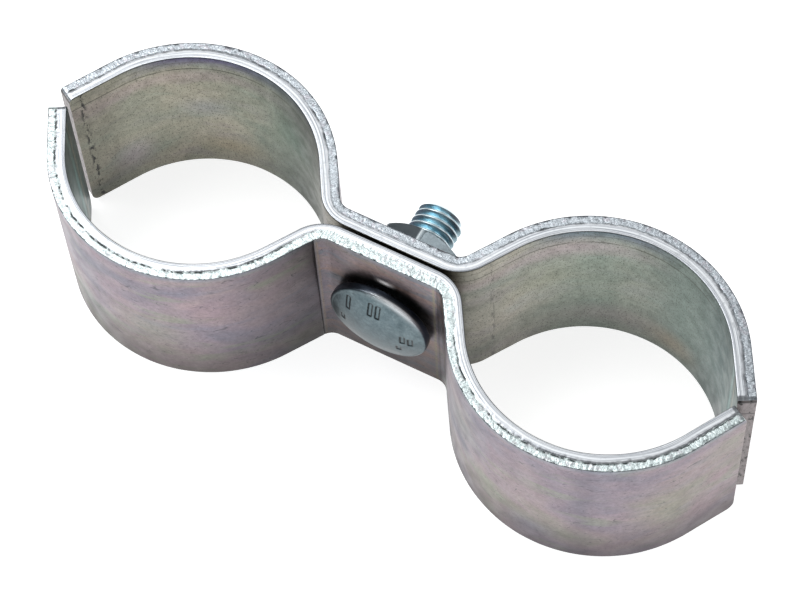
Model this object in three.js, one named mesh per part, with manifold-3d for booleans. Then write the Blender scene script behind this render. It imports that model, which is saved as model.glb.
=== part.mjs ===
// Double tube clamp: two pressed steel strips hold a pair of parallel tubes side by side.
// A carriage bolt and a hex nut between the two tubes draw the strips together.
// Millimetres. X runs across both tubes, Y along the bolt (head at -Y, nut at +Y), Z along the tubes.
// The origin is at the middle of the clamp's lower edge.

import * as THREE from 'three';
import { mergeVertices } from 'three/addons/utils/BufferGeometryUtils.js';
import Module from 'manifold-3d';

// Driving dimensions of the pressed strip
const STRIP_WIDTH = 30.4;
const STRIP_THICKNESS = 2.9;
const TUBE_SPACING = 70;
const SEAT_RADIUS = 21;
const SEAT_CENTRE_DEPTH = 2.6; // how far the seat's centre lies beyond the parting plane
const FLANK_ANGLE = THREE.MathUtils.degToRad(58); // where the seat arc leaves the flank by the web
const LIP_ANGLE = THREE.MathUtils.degToRad(60); // where the seat arc meets the straight outer lip
const LIP_LENGTH = 8.75;
const WEB_BEND_TUBE_SIDE = 6.9;
const WEB_BEND_OUTER_SIDE = 2.6;
const HALF_GAP = 0.25; // each web stands this far off the parting plane
const CORNER_RADIUS = 1.6; // rounded corners of the strip's two ends

// Driving dimensions of the M8 x 20 carriage bolt and its nut
const BOLT_HEIGHT = STRIP_WIDTH / 2;
const THREAD_RADIUS = 3.95;
const THREAD_END = 16.3;
const END_CHAMFER = 0.8;
const NECK_WIDTH = 8;
const NECK_HOLE_WIDTH = 8.7;
const HEAD_RADIUS = 8.5;
const HEAD_RIM = 1.4;
const HEAD_HEIGHT = 3.3;
const HEAD_STAND_OFF = 0.8; // clear space left between the head and the web
const NUT_ACROSS_FLATS = 12.6;
const NUT_ACROSS_CORNERS = 14.1;
const NUT_HEIGHT = 6.5;
const NUT_BORE_RADIUS = 4.05;
const NUT_SEAT_GAP = 0.05;
const NUT_TURN = THREE.MathUtils.degToRad(4.5); // from one point straight up
const NUT_CHAMFER_ANGLE = THREE.MathUtils.degToRad(30);

const WEB_OUTER = HALF_GAP + STRIP_THICKNESS;
const HEAD_UNDERSIDE = -WEB_OUTER - HEAD_STAND_OFF;
const HEAD_EDGE = 0.5; // bevel around both edges of the head's rim
const NECK_END = -HALF_GAP - 0.3;
const OVERLAP = 0.5; // how far joined bodies run into each other
const BORE_LEAD = 0.5; // countersink at both ends of the nut's bore

// Facet counts
const SEAT_FACETS = 24;
const BEND_FACETS = 6;
const ROUND_FACETS = 48;
const DOME_FACETS = 6;
const CORNER_FACETS = 4;

const wasm = await Module();
wasm.setup();

// A closed three.js geometry as a manifold solid. Faces that shrink to a line on the axis are dropped.
function toSolid(geometry) {
  const bare = geometry.clone();
  bare.deleteAttribute('normal');
  bare.deleteAttribute('uv');
  const merged = mergeVertices(bare, 1e-4);
  const corners = merged.index.array;
  const faces = [];
  for (let i = 0; i < corners.length; i += 3) {
    const face = corners.slice(i, i + 3);
    if (new Set(face).size === 3) faces.push(...face);
  }
  const mesh = new wasm.Mesh({
    numProp: 3,
    vertProperties: new Float32Array(merged.attributes.position.array),
    triVerts: new Uint32Array(faces),
  });
  return new wasm.Manifold(mesh);
}

// A manifold solid as a three.js geometry
function toGeometry(solid) {
  const mesh = solid.getMesh();
  const geometry = new THREE.BufferGeometry();
  geometry.setAttribute('position', new THREE.BufferAttribute(mesh.vertProperties.slice(), 3));
  geometry.setIndex(new THREE.BufferAttribute(mesh.triVerts.slice(), 1));
  geometry.computeVertexNormals();
  return geometry;
}

// A solid turned about the bolt's axis from [radius, y] points that start and end on the axis
function turned(profile) {
  const points = profile.map(([radius, y]) => new THREE.Vector2(radius, y));
  const geometry = new THREE.LatheGeometry(points, ROUND_FACETS);
  return geometry.translate(0, 0, BOLT_HEIGHT);
}

// Points of an arc about a centre, from one angle to another, both ends included
function arc(centre, radius, start, end, facets) {
  const points = [];
  for (let i = 0; i <= facets; i += 1) {
    const angle = start + ((end - start) * i) / facets;
    const spoke = new THREE.Vector2(Math.cos(angle), Math.sin(angle)).multiplyScalar(radius);
    points.push(spoke.add(centre));
  }
  return points;
}

// Right half of the strip's outline in plan, from the web to the lip's end.
// The offset is 0 on the tube side and the strip's thickness on the outer side.
function halfOutline(offset) {
  const web = -HALF_GAP - offset;
  const radius = SEAT_RADIUS + offset;
  const centre = new THREE.Vector2(TUBE_SPACING / 2, SEAT_CENTRE_DEPTH);
  const flankStart = -Math.PI / 2 - FLANK_ANGLE;
  const lipStart = -Math.PI / 2 + LIP_ANGLE;
  const seat = arc(centre, radius, flankStart, lipStart, SEAT_FACETS);
  const lipDirection = new THREE.Vector2(Math.cos(LIP_ANGLE), Math.sin(LIP_ANGLE));
  const lipEnd = seat.at(-1).clone().addScaledVector(lipDirection, LIP_LENGTH);

  // The flank's line runs back from the seat until it crosses the web's line
  const flankDirection = new THREE.Vector2(Math.cos(FLANK_ANGLE), -Math.sin(FLANK_ANGLE));
  const run = (web - seat[0].y) / flankDirection.y;
  const crossing = seat[0].clone().addScaledVector(flankDirection, run);
  const share = offset / STRIP_THICKNESS;
  const bend = THREE.MathUtils.lerp(WEB_BEND_TUBE_SIDE, WEB_BEND_OUTER_SIDE, share);
  const bendCentre = new THREE.Vector2(crossing.x - bend * Math.tan(FLANK_ANGLE / 2), web - bend);
  const webBend = arc(bendCentre, bend, Math.PI / 2, Math.PI / 2 - FLANK_ANGLE, BEND_FACETS);
  return [...webBend, ...seat, lipEnd];
}

// The whole strip's outline in plan: tube side left to right, then outer side back
function stripOutline() {
  const mirrored = (points) => points.map((p) => new THREE.Vector2(-p.x, p.y)).reverse();
  const tubeSide = halfOutline(0);
  const outerSide = halfOutline(STRIP_THICKNESS).reverse();
  return new THREE.Shape([
    ...mirrored(tubeSide),
    ...tubeSide,
    ...outerSide,
    ...mirrored(outerSide),
  ]);
}

// What a rounded corner leaves out of a square one, with the square corner at the local origin
function cornerCutter() {
  const reach = 2 * CORNER_RADIUS;
  const shape = new THREE.Shape();
  shape.moveTo(-reach, reach);
  shape.lineTo(-reach, 0);
  shape.lineTo(-CORNER_RADIUS, 0);
  shape.absarc(-CORNER_RADIUS, -CORNER_RADIUS, CORNER_RADIUS, Math.PI / 2, 0, true);
  shape.lineTo(0, -reach);
  shape.lineTo(reach, -reach);
  shape.lineTo(reach, reach);
  const depth = 2 * STRIP_THICKNESS;
  const options = { depth, bevelEnabled: false, curveSegments: CORNER_FACETS };
  return new THREE.ExtrudeGeometry(shape, options).translate(0, 0, -depth / 2);
}

// Cutters for the strip's four end corners. Each lip's frame has X along the lip and Y upward.
function endCorners() {
  const tip = halfOutline(0).at(-1).lerp(halfOutline(STRIP_THICKNESS).at(-1), 0.5);
  const up = new THREE.Vector3(0, 0, 1);
  const cutters = [];
  for (const side of [1, -1]) {
    const along = new THREE.Vector3(side * Math.cos(LIP_ANGLE), Math.sin(LIP_ANGLE), 0);
    const through = new THREE.Vector3().crossVectors(along, up);
    const place = new THREE.Matrix4().makeBasis(along, up, through);
    place.setPosition(side * tip.x, tip.y, STRIP_WIDTH / 2);
    const upper = cornerCutter().translate(0, STRIP_WIDTH / 2, 0);
    const lower = cornerCutter().rotateZ(-Math.PI / 2).translate(0, -STRIP_WIDTH / 2, 0);
    cutters.push(toSolid(upper.applyMatrix4(place)), toSolid(lower.applyMatrix4(place)));
  }
  return cutters;
}

// One pressed strip, lying on the -Y side of the parting plane
function strip() {
  const body = new THREE.ExtrudeGeometry(stripOutline(), { depth: STRIP_WIDTH, bevelEnabled: false });
  const hole = new THREE.BoxGeometry(NECK_HOLE_WIDTH, 4 * WEB_OUTER, NECK_HOLE_WIDTH);
  const pierced = toSolid(body).subtract(toSolid(hole.translate(0, 0, BOLT_HEIGHT)));
  return toGeometry(endCorners().reduce((solid, cutter) => solid.subtract(cutter), pierced));
}

// Cup head with a thick bevelled rim, square neck and threaded shank
function carriageBolt() {
  const crown = HEAD_HEIGHT - HEAD_RIM;
  const domeRadius = (HEAD_RADIUS ** 2 + crown ** 2) / (2 * crown);
  const dome = [];
  for (let i = 0; i <= DOME_FACETS; i += 1) {
    const radius = ((HEAD_RADIUS - HEAD_EDGE) * i) / DOME_FACETS;
    const drop = domeRadius - Math.sqrt(domeRadius ** 2 - radius ** 2);
    dome.push([radius, HEAD_UNDERSIDE - HEAD_HEIGHT + drop]);
  }
  const head = toSolid(turned([
    ...dome,
    [HEAD_RADIUS, HEAD_UNDERSIDE - HEAD_RIM + HEAD_EDGE],
    [HEAD_RADIUS, HEAD_UNDERSIDE - HEAD_EDGE],
    [HEAD_RADIUS - HEAD_EDGE, HEAD_UNDERSIDE],
    [0, HEAD_UNDERSIDE],
  ]));
  const neckLength = NECK_END - HEAD_UNDERSIDE + OVERLAP;
  const neckBox = new THREE.BoxGeometry(NECK_WIDTH, neckLength, NECK_WIDTH);
  const neck = toSolid(neckBox.translate(0, NECK_END - neckLength / 2, BOLT_HEIGHT));
  const shank = toSolid(turned([
    [0, NECK_END - OVERLAP],
    [THREAD_RADIUS, NECK_END - OVERLAP],
    [THREAD_RADIUS, THREAD_END - END_CHAMFER],
    [THREAD_RADIUS - END_CHAMFER, THREAD_END],
    [0, THREAD_END],
  ]));
  return toGeometry(head.add(neck).add(shank));
}

// Hexagonal nut with rounded corners, chamfered on both faces, seated on the rear web
function hexNut() {
  const seat = WEB_OUTER + NUT_SEAT_GAP;
  const top = seat + NUT_HEIGHT;
  const point = NUT_ACROSS_FLATS / Math.sqrt(3);
  const prism = new THREE.CylinderGeometry(point, point, NUT_HEIGHT, 6);
  prism.rotateY(NUT_TURN).translate(0, seat + NUT_HEIGHT / 2, BOLT_HEIGHT);
  const flat = NUT_ACROSS_FLATS / 2;
  const corner = NUT_ACROSS_CORNERS / 2;
  const fall = (corner - flat) * Math.tan(NUT_CHAMFER_ANGLE);
  const envelope = turned([
    [0, seat],
    [flat, seat],
    [corner, seat + fall],
    [corner, top - fall],
    [flat, top],
    [0, top],
  ]);
  const mouth = NUT_BORE_RADIUS + BORE_LEAD + OVERLAP;
  const bore = turned([
    [0, seat - OVERLAP],
    [mouth, seat - OVERLAP],
    [NUT_BORE_RADIUS, seat + BORE_LEAD],
    [NUT_BORE_RADIUS, top - BORE_LEAD],
    [mouth, top + OVERLAP],
    [0, top + OVERLAP],
  ]);
  return toGeometry(toSolid(prism).intersect(toSolid(envelope)).subtract(toSolid(bore)));
}

function zincSteel(color, roughness) {
  return new THREE.MeshStandardMaterial({ color, roughness, metalness: 1 });
}

function part(name, geometry, material) {
  const mesh = new THREE.Mesh(geometry, material);
  mesh.name = name;
  return mesh;
}

const clamp = new THREE.Group();
const front = part('front_clamp_half', strip(), zincSteel(0x9a9294, 0.45));
const rear = part('rear_clamp_half', strip(), zincSteel(0x96938c, 0.45));
rear.rotation.z = Math.PI;
clamp.add(front, rear);
clamp.add(part('carriage_bolt', carriageBolt(), zincSteel(0x8ea1aa, 0.35)));
clamp.add(part('hex_nut', hexNut(), zincSteel(0x8a9094, 0.4)));

export default clamp;
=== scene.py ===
"""Looks of the double tube clamp: two pressed, zinc plated strips, a carriage bolt and a hex nut.

Lengths in the shape code are millimetres. X runs across both tubes, Y along the bolt, Z along the tubes.
"""

import math
import bpy
import numpy as np
from mathutils import Matrix, Vector, noise


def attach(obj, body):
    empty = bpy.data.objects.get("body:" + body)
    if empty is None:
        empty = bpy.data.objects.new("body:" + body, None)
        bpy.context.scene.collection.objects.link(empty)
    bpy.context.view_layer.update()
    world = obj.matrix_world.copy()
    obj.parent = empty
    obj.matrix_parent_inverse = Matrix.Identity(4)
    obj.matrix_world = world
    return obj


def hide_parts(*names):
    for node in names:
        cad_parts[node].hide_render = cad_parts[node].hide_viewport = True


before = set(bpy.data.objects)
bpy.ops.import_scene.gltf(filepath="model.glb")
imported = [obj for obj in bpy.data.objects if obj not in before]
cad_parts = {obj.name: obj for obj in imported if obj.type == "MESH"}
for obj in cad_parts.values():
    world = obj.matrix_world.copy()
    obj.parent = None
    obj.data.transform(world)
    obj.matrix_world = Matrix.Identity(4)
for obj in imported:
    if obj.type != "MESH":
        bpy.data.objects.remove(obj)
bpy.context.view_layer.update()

MM = 0.001

# Pressed strip, as in the CAD part
STRIP_WIDTH = 30.4
STRIP_THICKNESS = 2.9
TUBE_SPACING = 70.0
SEAT_RADIUS = 21.0
SEAT_CENTRE_DEPTH = 2.6
FLANK_ANGLE = math.radians(58)
LIP_ANGLE = math.radians(60)
LIP_LENGTH = 8.75
WEB_BEND_TUBE_SIDE = 6.9
WEB_BEND_OUTER_SIDE = 2.6
CREASE_RUN = -13.1  # a crease from the press runs down the outer wall where one flank begins
HALF_GAP = 0.25
CORNER_RADIUS = 1.6
UPPER_CORNER_RADIUS = 0.8
NECK_HOLE_WIDTH = 8.7

# Sheared edges of the strip: rolled over on the tube side, burnished, then broken off on the outer side
ROLL_OVER = 0.16
BROKEN_CORNER = 0.14
CORNER_ROWS = 3  # wall rows that carry the sheared edge's look round the lips' corners
STEP = 0.15  # distance between sections along the strip
BURNISHED_COLUMNS = 4
BROKEN_COLUMNS = 9
COLUMNS = 2 + BURNISHED_COLUMNS + BROKEN_COLUMNS + 2  # two more round each wall's corner
TORN_DEPTH = 0.09
NICK_DEPTH = 0.16
NICK_SETBACK = 0.10
CREASE_DEPTH = 0.10
WALL_WAVINESS = 0.02
END_ROUGHNESS = 0.02

# Material slots of a strip
OUTER_WALL, INNER_WALL, BURNISHED, BROKEN, CUT = range(5)

# Bolt and nut, as in the CAD part
BOLT_HEIGHT = STRIP_WIDTH / 2
WEB_OUTER = HALF_GAP + STRIP_THICKNESS
THREAD_RADIUS = 3.95
THREAD_DEPTH = 0.68
THREAD_PITCH = 1.25
THREAD_END = 16.3
THREAD_CLEARANCE = 0.08
THREAD_SEGMENTS = 96
END_CHAMFER = 0.8
NECK_WIDTH = 8.0
NECK_END = -HALF_GAP - 0.3
NECK_CORNER = 0.5
HEAD_RADIUS = 8.5
HEAD_RIM = 1.4
HEAD_HEIGHT = 3.3
HEAD_STAND_OFF = 0.8
HEAD_UNDERSIDE = -WEB_OUTER - HEAD_STAND_OFF
HEAD_EDGE = 0.55  # rounding of the rim's outer edge
HEAD_LOWER_EDGE = 0.3
HEAD_SEGMENTS = 288
MARK_HEIGHT = 0.15
NUT_ACROSS_FLATS = 12.6
NUT_ACROSS_CORNERS = 14.1
NUT_HEIGHT = 6.5
NUT_SEAT = WEB_OUTER + 0.05
NUT_TURN = math.radians(4.5)
NUT_CHAMFER = math.radians(30)
NUT_COUNTERSINK = 0.45
NUT_FACE_MARGIN = 0.15  # how far inside its flats a face's flat ring ends
NUT_SEGMENTS = 240


def smooth(low, high, value):
    """0 below low, 1 above high and a smooth step between them."""
    share = np.clip((value - low) / (high - low), 0, 1)
    return share * share * (3 - 2 * share)


def noise_of(points, scale, octaves=1, shift=0.0):
    """Noise at an (n, 3) array of points, each octave at twice the scale and half the height."""
    total = np.zeros(len(points))
    for octave in range(octaves):
        grain = scale * 2**octave
        values = [noise.noise(Vector(p) * grain + Vector((shift, 7.3 * octave, 1.7))) for p in points]
        total += np.array(values) / 2**octave
    return total


def make_mesh(name, points, faces, materials, slots=None, layout=None, torn=None, sharp=40):
    """A mesh object from points in millimetres. Layout and torn are kept per point for the materials."""
    mesh = bpy.data.meshes.new(name)
    mesh.from_pydata((np.asarray(points) * MM).tolist(), [], faces)
    for material in materials:
        mesh.materials.append(material)
    if slots is not None:
        mesh.polygons.foreach_set("material_index", np.asarray(slots, np.int32))
    mesh.polygons.foreach_set("use_smooth", np.ones(len(mesh.polygons), bool))
    mesh.set_sharp_from_angle(angle=math.radians(sharp))
    if layout is not None:
        attribute = mesh.attributes.new("layout", "FLOAT_VECTOR", "POINT")
        attribute.data.foreach_set("vector", np.asarray(layout, np.float32).ravel())
    if torn is not None:
        attribute = mesh.attributes.new("torn", "FLOAT", "POINT")
        attribute.data.foreach_set("value", np.asarray(torn, np.float32))
    mesh.validate()
    mesh.update()
    piece = bpy.data.objects.new(name, mesh)
    bpy.context.scene.collection.objects.link(piece)
    return piece


# ---------------- materials


class Look:
    """A material built node by node around one Principled shader."""

    def __init__(self, name):
        self.material = bpy.data.materials.new(name)
        self.material.use_nodes = True
        self.tree = self.material.node_tree
        self.tree.nodes.clear()
        self.shader = self.node("ShaderNodeBsdfPrincipled")
        output = self.node("ShaderNodeOutputMaterial")
        self.link(self.shader.outputs[0], output.inputs[0])

    def node(self, kind, **settings):
        made = self.tree.nodes.new(kind)
        for key, value in settings.items():
            setattr(made, key, value)
        return made

    def link(self, source, target):
        """Links a socket, or sets a plain number or colour."""
        if isinstance(source, bpy.types.NodeSocket):
            self.tree.links.new(source, target)
        else:
            target.default_value = source

    def set(self, **values):
        for key, value in values.items():
            self.link(value, self.shader.inputs[key.replace("_", " ")])

    def layout(self):
        return self.node("ShaderNodeAttribute", attribute_name="layout").outputs["Vector"]

    def torn(self):
        return self.node("ShaderNodeAttribute", attribute_name="torn").outputs["Fac"]

    def place(self):
        return self.node("ShaderNodeTexCoord").outputs["Object"]

    def stretch(self, vector, scale, shift=(0, 0, 0), turn=0.0):
        mapping = self.node("ShaderNodeMapping")
        self.link(vector, mapping.inputs["Vector"])
        mapping.inputs["Scale"].default_value = scale
        mapping.inputs["Location"].default_value = shift
        mapping.inputs["Rotation"].default_value = (0, turn, 0)
        return mapping.outputs[0]

    def noise(self, vector, scale, detail=2.0, rough=0.5, twist=0.0):
        made = self.node("ShaderNodeTexNoise")
        self.link(vector, made.inputs["Vector"])
        made.inputs["Scale"].default_value = scale
        made.inputs["Detail"].default_value = detail
        made.inputs["Roughness"].default_value = rough
        made.inputs["Distortion"].default_value = twist
        return made.outputs["Fac"]

    def math(self, operation, a, b=0.0, c=0.0):
        made = self.node("ShaderNodeMath", operation=operation)
        for value, socket in zip((a, b, c), made.inputs):
            self.link(value, socket)
        return made.outputs[0]

    def times(self, a, b):
        return self.math("MULTIPLY", a, b)

    def between(self, a, b, share):
        """From a where the share is 0 to b where it is 1."""
        return self.math("MULTIPLY_ADD", share, self.math("SUBTRACT", b, a), a)

    def part(self, vector, axis):
        made = self.node("ShaderNodeSeparateXYZ")
        self.link(vector, made.inputs[0])
        return made.outputs[axis]

    def span(self, value, low, high, out_low=0.0, out_high=1.0):
        """The value's range from low to high, mapped smoothly to another range."""
        made = self.node("ShaderNodeMapRange", interpolation_type="SMOOTHSTEP")
        for key, number in (("Value", value), ("From Min", low), ("From Max", high),
                            ("To Min", out_low), ("To Max", out_high)):
            self.link(number, made.inputs[key])
        return made.outputs[0]

    def hump(self, value, middle, width):
        """1 at the middle, falling to 0 over the width on both sides."""
        away = self.math("ABSOLUTE", self.math("SUBTRACT", value, middle))
        return self.span(away, 0.0, width, 1.0, 0.0)

    def ramp(self, value, stops):
        made = self.node("ShaderNodeValToRGB")
        self.link(value, made.inputs[0])
        bar = made.color_ramp
        while len(bar.elements) < len(stops):
            bar.elements.new(1.0)
        for element, (position, colour) in zip(bar.elements, stops):
            element.position = position
            element.color = (*colour, 1.0)
        return made.outputs[0]

    def mix(self, share, a, b, blend="MIX"):
        made = self.node("ShaderNodeMix", data_type="RGBA", blend_type=blend)
        self.link(share, made.inputs[0])
        for value, socket in ((a, made.inputs[6]), (b, made.inputs[7])):
            self.link(value if isinstance(value, bpy.types.NodeSocket) else (*value, 1.0), socket)
        return made.outputs[2]

    def tint(self, tone, share, strength, colour):
        """The tone mixed with a colour by the share, which counts up to the strength."""
        return self.mix(self.times(share, strength), tone, colour)

    def dim(self, tone, value, stops=((0.0, 0.0), (1.0, 1.0))):
        """The tone multiplied by a brightness that follows the value through the stops."""
        greys = self.ramp(value, [(position, (level,) * 3) for position, level in stops])
        return self.mix(1.0, tone, greys, "MULTIPLY")

    def stripes(self, tone, value, stripes):
        """Soft stripes, each given as (middle, half width, strength, colour)."""
        for middle, width, strength, colour in stripes:
            tone = self.tint(tone, self.hump(value, middle, width), strength, colour)
        return tone

    def patches(self, tone, along, height, patches):
        """Soft patches, each given as (run, half length, height, half height, strength, colour)."""
        for middle, width, level, depth, strength, colour in patches:
            patch = self.times(self.hump(along, middle, width), self.hump(height, level, depth))
            tone = self.tint(tone, patch, strength, colour)
        return tone

    def bump(self, height, depth_mm):
        made = self.node("ShaderNodeBump")
        self.link(height, made.inputs["Height"])
        made.inputs["Distance"].default_value = depth_mm * MM
        self.link(made.outputs[0], self.shader.inputs["Normal"])


def wavy_lines(look, vector, scale, width, gate_scale, gate_low, gate_high):
    """Thin wavy marks: where one noise crosses its middle, kept only where another one is high."""
    value = look.noise(vector, scale, detail=1.0, twist=0.6)
    line = look.hump(value, 0.5, width)
    gate = look.span(look.noise(vector, gate_scale, detail=1.0), gate_low, gate_high)
    return look.times(line, gate)


def outer_wall(name, head_side):
    """Mottled mauve and pinkish zinc with bluish and yellow-green streaks, and painted shade by the web's
    bends.
    """
    look = Look(name)
    lay = look.layout()
    along, height = look.part(lay, 0), look.part(lay, 2)
    far = look.math("ABSOLUTE", along)

    # Mottled ground colours
    mottle = look.noise(look.stretch(lay, (0.05, 0.1, 0.08)), 1.0, 3.0, 0.55, 0.5)
    tone = look.ramp(mottle, [
        (0.30, (0.220, 0.215, 0.265)),
        (0.44, (0.315, 0.262, 0.305)),
        (0.56, (0.370, 0.300, 0.315)),
        (0.70, (0.325, 0.310, 0.262)),
    ])
    streaks = look.noise(look.stretch(lay, (0.055, 0.1, 0.34), (3, 0, 9), 0.35), 1.0, 4.0, 0.6, 0.7)
    tone = look.mix(look.span(streaks, 0.52, 0.70, 0, 0.6), tone, (0.290, 0.330, 0.245))
    tone = look.mix(look.span(streaks, 0.47, 0.30, 0, 0.4), tone, (0.240, 0.245, 0.310))
    blush = look.noise(look.stretch(lay, (0.09, 0.1, 0.15), (7, 3, 2)), 1.0, 2.0, 0.5, 0.4)
    tone = look.mix(look.span(blush, 0.52, 0.72, 0, 0.5), tone, (0.430, 0.315, 0.350))

    # Slanting warm and cool brush marks on the web, and painted highlights along its bends with a dark line
    # beside one
    tone = look.tint(tone, look.hump(far, 3.0, 9.0), 0.5, (0.33, 0.25, 0.22))
    in_middle = look.span(far, 13.5, 12.0)
    brushed = look.noise(look.stretch(lay, (0.10, 0.1, 0.55), (1, 0, 3), 0.75), 1.0, 4.0, 0.65, 0.5)
    warm = look.times(look.span(brushed, 0.50, 0.62, 0, 0.7), in_middle)
    tone = look.mix(warm, tone, (0.42, 0.29, 0.25))
    cool = look.times(look.span(brushed, 0.48, 0.36, 0, 0.7), in_middle)
    tone = look.mix(cool, tone, (0.22, 0.25, 0.29))
    tone = look.stripes(tone, along, (
        (12.4, 0.7, 0.6, (0.50, 0.44, 0.33)),
        (8.6, 0.5, 0.6, (0.44, 0.40, 0.27)),
        (9.7, 0.5, 0.6, (0.12, 0.11, 0.11)),
        (-12.3, 0.5, 0.6, (0.46, 0.36, 0.28)),
    ))

    # Yellow-green, mauve and rose patches on the loops
    tone = look.patches(tone, along, height, (
        (61.0, 7.0, 15.0, 9.0, 0.45, (0.34, 0.36, 0.24)),
        (-40.0, 9.0, 12.0, 7.0, 0.40, (0.32, 0.35, 0.23)),
        (28.0, 6.0, 20.0, 8.0, 0.35, (0.33, 0.34, 0.25)),
        (42.0, 7.0, 5.0, 5.0, 0.50, (0.27, 0.26, 0.36)),
        (68.0, 5.0, 10.0, 9.0, 0.50, (0.42, 0.29, 0.34)),
        (-30.0, 6.0, 20.0, 6.0, 0.40, (0.42, 0.29, 0.33)),
        (-52.0, 7.0, 8.0, 7.0, 0.35, (0.25, 0.26, 0.34)),
    ))
    border = look.span(height, STRIP_WIDTH - 1.5, STRIP_WIDTH - 0.1, 0, 0.6)
    tone = look.mix(border, tone, (0.28, 0.33, 0.38))

    # Fine grain, scratches, specks, painted shade in the crease with a painted highlight on its lit side,
    # and a painted band of shade on the loop at positive run
    tone = look.dim(tone, look.noise(lay, 1.4, 4.0, 0.65), ((0.3, 0.78), (0.7, 1.14)))
    slanted = look.stretch(lay, (0.22, 0.3, 0.55), (5, 2, 1), 0.2)
    scratches = wavy_lines(look, slanted, 1.0, 0.014, 1.9, 0.53, 0.62)
    tone = look.tint(tone, scratches, 0.65, (0.06, 0.07, 0.08))
    specks = look.span(look.noise(look.stretch(lay, (0.7, 1.0, 1.4)), 2.2, 2.0, 0.7), 0.64, 0.69)
    tone = look.tint(tone, specks, 0.5, (0.06, 0.06, 0.07))
    tone = look.stripes(tone, along, (
        (CREASE_RUN, 0.2, 0.95, (0.01, 0.01, 0.01)),
        (CREASE_RUN + 0.45, 0.22, 0.45, (0.60, 0.56, 0.52)),
        (49.5, 3.0, 0.22, (0.10, 0.10, 0.13)),
    ))

    # Painted shade, darker in the hollows by the bends, in the web except high up where painted light
    # brightens it, and towards the foot
    lowest_shade = look.span(look.span(along, 0.0, -20.0), 0.0, 1.0, 0.60, 0.22)
    hollow = look.between(lowest_shade, 0.84, look.span(far, 11.0, 34.0, 0.0, 1.0))
    lit = look.times(look.span(height, 21.0, 29.0), look.span(along, -11.0, -4.0))
    web = look.math("MULTIPLY_ADD", lit, 0.26, 0.50)
    tone = look.dim(tone, look.between(hollow, web, look.span(far, 13.2, 12.4)))
    tone = look.dim(tone, look.span(height, -1.0, 14.0, 0.41, 1.0))

    metal = 1.0
    if head_side:
        # Painted shade as a dark halo round the bolt's head, and a painted reflection of the head as a
        # bright, less metallic spot above it
        side_on = look.math("SUBTRACT", along, 0.3)
        above = look.math("SUBTRACT", height, BOLT_HEIGHT)
        squares = [look.math("POWER", look.math("ABSOLUTE", way), 2.0) for way in (side_on, above)]
        distance = look.math("SQRT", look.math("ADD", *squares))
        painted_halo_shade = look.times(look.hump(distance, HEAD_RADIUS, 2.2), look.span(above, 2.0, 7.0))
        tone = look.tint(tone, painted_halo_shade, 0.8, (0.03, 0.03, 0.03))
        painted_reflection_spot = look.times(look.hump(side_on, 0.1, 2.3), look.hump(above, HEAD_RADIUS + 0.9, 1.1))
        tone = look.mix(painted_reflection_spot, tone, (0.95, 0.92, 0.92))
        metal = look.math("MULTIPLY_ADD", painted_reflection_spot, -0.85, 1.0)
    look.set(Base_Color=tone, Metallic=metal)
    look.set(Roughness=look.span(look.noise(lay, 0.35, 3.0), 0.3, 0.7, 0.32, 0.46))
    look.bump(look.noise(look.stretch(lay, (0.8, 0.8, 2.0)), 1.0, 3.0, 0.6), 0.012)
    return look.material


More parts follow.
